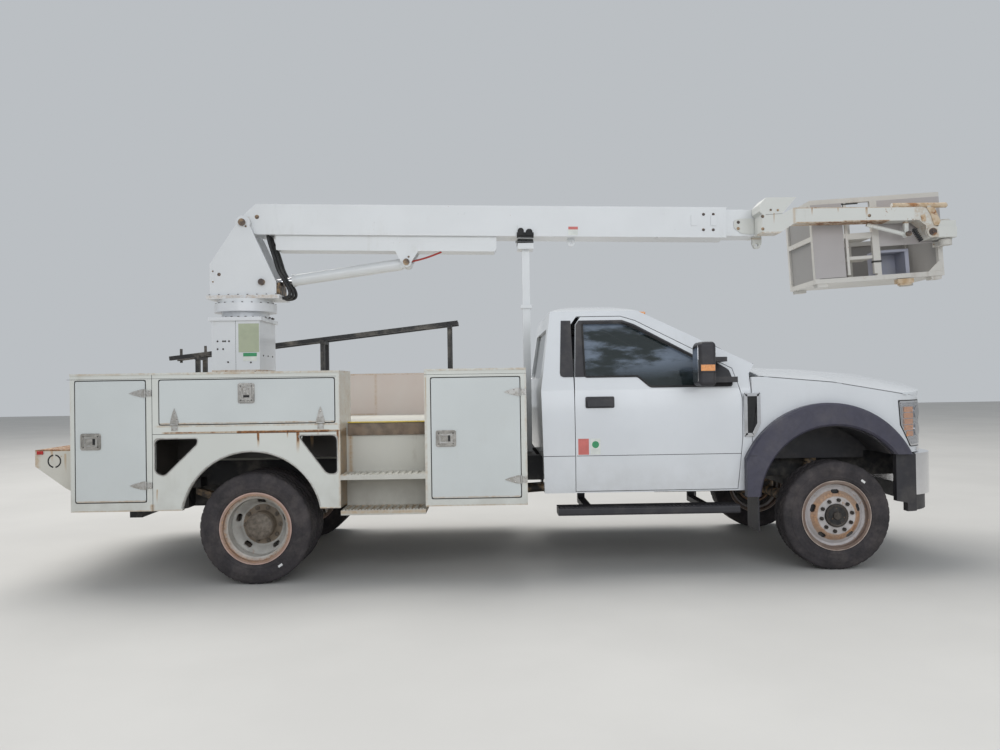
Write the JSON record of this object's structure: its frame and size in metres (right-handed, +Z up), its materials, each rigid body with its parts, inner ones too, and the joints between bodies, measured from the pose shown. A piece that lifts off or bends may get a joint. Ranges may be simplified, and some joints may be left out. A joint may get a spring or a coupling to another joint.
{
  "type": "cherry picker truck",
  "caption": "Regular cab truck with a service body and a telescopic boom on a pedestal that carries a work basket, with working doors, steering and boom gear.",
  "frame": {"origin": "on the ground, midway between the tail shelf and the basket's bracket, in the truck's middle plane", "axes": "+X forward, +Y to the truck's left, +Z up"},
  "size_m": [7.272, 2.6, 3.0263],
  "materials": {
    "cab_paint": "white gloss paint",
    "body_paint": "weathered white paint with rust at the seams",
    "boom_paint": "white gloss paint, chipped",
    "frame_black": "black frame paint, dusty",
    "iron": "dark cast iron",
    "black_trim": "textured black plastic",
    "chrome": "chromed steel, dusty",
    "rod_chrome": "hard chromed rod",
    "lamp_lens": "clear lens over an amber marker",
    "tail_lens": "red lens",
    "tyre": "black rubber, dusty",
    "wheel_paint": "white painted steel wheel, rusty",
    "glass": "tinted safety glass",
    "seat": "dark grey vinyl",
    "dash": "dark grey moulded plastic",
    "basket_paint": "white painted steel, chipped and rusty",
    "panel": "dull aluminium sheet",
    "rusty": "rusted paint"
  },
  "bodies": {
    "chassis": {"frame_rails": "frame_black", "powertrain": "iron", "front_axle": "iron", "rear_axle": "iron", "fuel_tank": "frame_black", "cab_shell": "cab_paint", "cab_glass": "glass", "bench_seat": "seat", "dashboard": "dash", "fenders": "cab_paint", "headlamps": "lamp_lens", "grille": "chrome", "wheel_flares": "black_trim", "splash_guards": "black_trim", "front_bumper": "chrome", "bumper_valance": "black_trim", "running_boards": "black_trim", "body_side_left": "body_paint", "body_side_right": "body_paint", "body_deck": "body_paint", "access_steps": "body_paint", "tail_shelf": "body_paint", "tail_lamps": "tail_lens", "ladder_rack": "frame_black", "pedestal": "boom_paint", "boom_rest": "boom_paint"},
    "knuckle_left": {"knuckle_left": "iron"},
    "knuckle_right": {"knuckle_right": "iron"},
    "wheel_front_left": {"wheel_front_left": "wheel_paint", "tyre_front_left": "tyre"},
    "wheel_front_right": {"wheel_front_right": "wheel_paint", "tyre_front_right": "tyre"},
    "wheels_rear_left": {"wheels_rear_left": "wheel_paint", "tyres_rear_left": "tyre"},
    "wheels_rear_right": {"wheels_rear_right": "wheel_paint", "tyres_rear_right": "tyre"},
    "door_left": {"door_left": "cab_paint", "door_glass_left": "glass", "mirror_left": "black_trim"},
    "door_right": {"door_right": "cab_paint", "door_glass_right": "glass", "mirror_right": "black_trim"},
    "hood": {"hood": "cab_paint"},
    "turret": {"turret": "boom_paint"},
    "boom": {"boom": "boom_paint"},
    "extension": {"boom_extension": "boom_paint", "tip_arm": "boom_paint"},
    "lift_barrel": {"lift_barrel": "boom_paint"},
    "lift_rod": {"lift_rod": "rod_chrome"},
    "jib_head": {"jib_head": "rusty"},
    "basket": {"basket": "basket_paint", "basket_bracket": "rusty", "basket_panels": "panel"},
    "box_door_rear_right": {"box_door_rear_right": "body_paint"},
    "box_door_over_wheel_right": {"box_door_over_wheel_right": "body_paint"},
    "box_door_front_right": {"box_door_front_right": "body_paint"},
    "box_door_rear_left": {"box_door_rear_left": "body_paint"},
    "box_door_over_wheel_left": {"box_door_over_wheel_left": "body_paint"},
    "box_door_front_left": {"box_door_front_left": "body_paint"},
    "box_door_middle_left": {"box_door_middle_left": "body_paint"}
  },
  "joints": [
    {"name": "steer_left", "type": "hinge", "parent": "chassis", "child": "knuckle_left", "pos_m": [2.286, 0.85, 0.405], "axis": [0, 0, 1], "range_deg": [-30, 30]},
    {"name": "roll_front_left", "type": "hinge", "parent": "knuckle_left", "child": "wheel_front_left", "pos_m": [2.286, 0.95, 0.405], "axis": [0, 1, 0], "continuous": true},
    {"name": "roll_rear_left", "type": "hinge", "parent": "chassis", "child": "wheels_rear_left", "pos_m": [-2.014, 0.94, 0.405], "axis": [0, 1, 0], "continuous": true},
    {"name": "cab_door_left", "type": "hinge", "parent": "chassis", "child": "door_left", "pos_m": [1.604, 1.019, 1.2], "axis": [0, 0, -1], "range_deg": [0, 65]},
    {"name": "steer_right", "type": "hinge", "parent": "chassis", "child": "knuckle_right", "pos_m": [2.286, -0.85, 0.405], "axis": [0, 0, 1], "range_deg": [-30, 30]},
    {"name": "roll_front_right", "type": "hinge", "parent": "knuckle_right", "child": "wheel_front_right", "pos_m": [2.286, -0.95, 0.405], "axis": [0, 1, 0], "continuous": true},
    {"name": "roll_rear_right", "type": "hinge", "parent": "chassis", "child": "wheels_rear_right", "pos_m": [-2.014, -0.94, 0.405], "axis": [0, 1, 0], "continuous": true},
    {"name": "cab_door_right", "type": "hinge", "parent": "chassis", "child": "door_right", "pos_m": [1.604, -1.019, 1.2], "axis": [0, 0, 1], "range_deg": [0, 65]},
    {"name": "hood_lift", "type": "hinge", "parent": "chassis", "child": "hood", "pos_m": [1.738, 0, 1.535], "axis": [0, -1, 0], "range_deg": [0, 32]},
    {"name": "open_rear_right", "type": "hinge", "parent": "chassis", "child": "box_door_rear_right", "pos_m": [-2.7815, -1.225, 1.0545], "axis": [0, 0, 1], "range_deg": [0, 95]},
    {"name": "open_over_wheel_right", "type": "hinge", "parent": "chassis", "child": "box_door_over_wheel_right", "pos_m": [-2.053, -1.225, 1.1695], "axis": [1, 0, 0], "range_deg": [0, 90]},
    {"name": "open_front_right", "type": "hinge", "parent": "chassis", "child": "box_door_front_right", "pos_m": [-0.0795, -1.225, 1.043], "axis": [0, 0, 1], "range_deg": [0, 95]},
    {"name": "open_rear_left", "type": "hinge", "parent": "chassis", "child": "box_door_rear_left", "pos_m": [-2.7815, 1.225, 1.0545], "axis": [0, 0, -1], "range_deg": [0, 95]},
    {"name": "open_over_wheel_left", "type": "hinge", "parent": "chassis", "child": "box_door_over_wheel_left", "pos_m": [-2.053, 1.225, 1.1695], "axis": [-1, 0, 0], "range_deg": [0, 90]},
    {"name": "open_front_left", "type": "hinge", "parent": "chassis", "child": "box_door_front_left", "pos_m": [-0.0795, 1.225, 1.043], "axis": [0, 0, -1], "range_deg": [0, 95]},
    {"name": "open_middle_left", "type": "hinge", "parent": "chassis", "child": "box_door_middle_left", "pos_m": [-0.8205, 1.225, 1.043], "axis": [0, 0, -1], "range_deg": [0, 95]},
    {"name": "slew", "type": "hinge", "parent": "chassis", "child": "turret", "pos_m": [-2.399, 0, 2.146], "axis": [0, 0, 1], "range_deg": [-180, 180]},
    {"name": "luff", "type": "hinge", "parent": "turret", "child": "boom", "pos_m": [-2.37, 0, 2.829], "axis": [0, -1, 0], "range_deg": [0, 75]},
    {"name": "telescope", "type": "slide", "parent": "boom", "child": "extension", "axis": [0.9998, 0, -0.0192], "range_m": [0, 2.9]},
    {"name": "lift_pivot", "type": "hinge", "parent": "boom", "child": "lift_barrel", "pos_m": [-0.99528, 0, 2.48855], "axis": [0, -1, 0], "range_deg": [-9.62, 0]},
    {"name": "lift_stroke", "type": "slide", "parent": "lift_barrel", "child": "lift_rod", "axis": [-0.9908, 0, -0.1355], "range_m": [0, 0.597]},
    {"name": "basket_level", "type": "hinge", "parent": "extension", "child": "jib_head", "pos_m": [3.431, -0.26, 2.648], "axis": [0, -1, 0], "range_deg": [-75, 0]},
    {"name": "basket_turn", "type": "hinge", "parent": "jib_head", "child": "basket", "pos_m": [3.586, -0.26, 2.597], "axis": [0, 0, 1], "range_deg": [-180, 0]}
  ],
  "couplings": [
    {"joint": "steer_right", "follows": "steer_left", "ratio": 1},
    {"joint": "lift_pivot", "follows": "luff", "ratio": -0.12795},
    {"joint": "lift_stroke", "follows": "luff", "m_per_rad": 0.45505},
    {"joint": "basket_level", "follows": "luff", "ratio": -1}
  ]
}
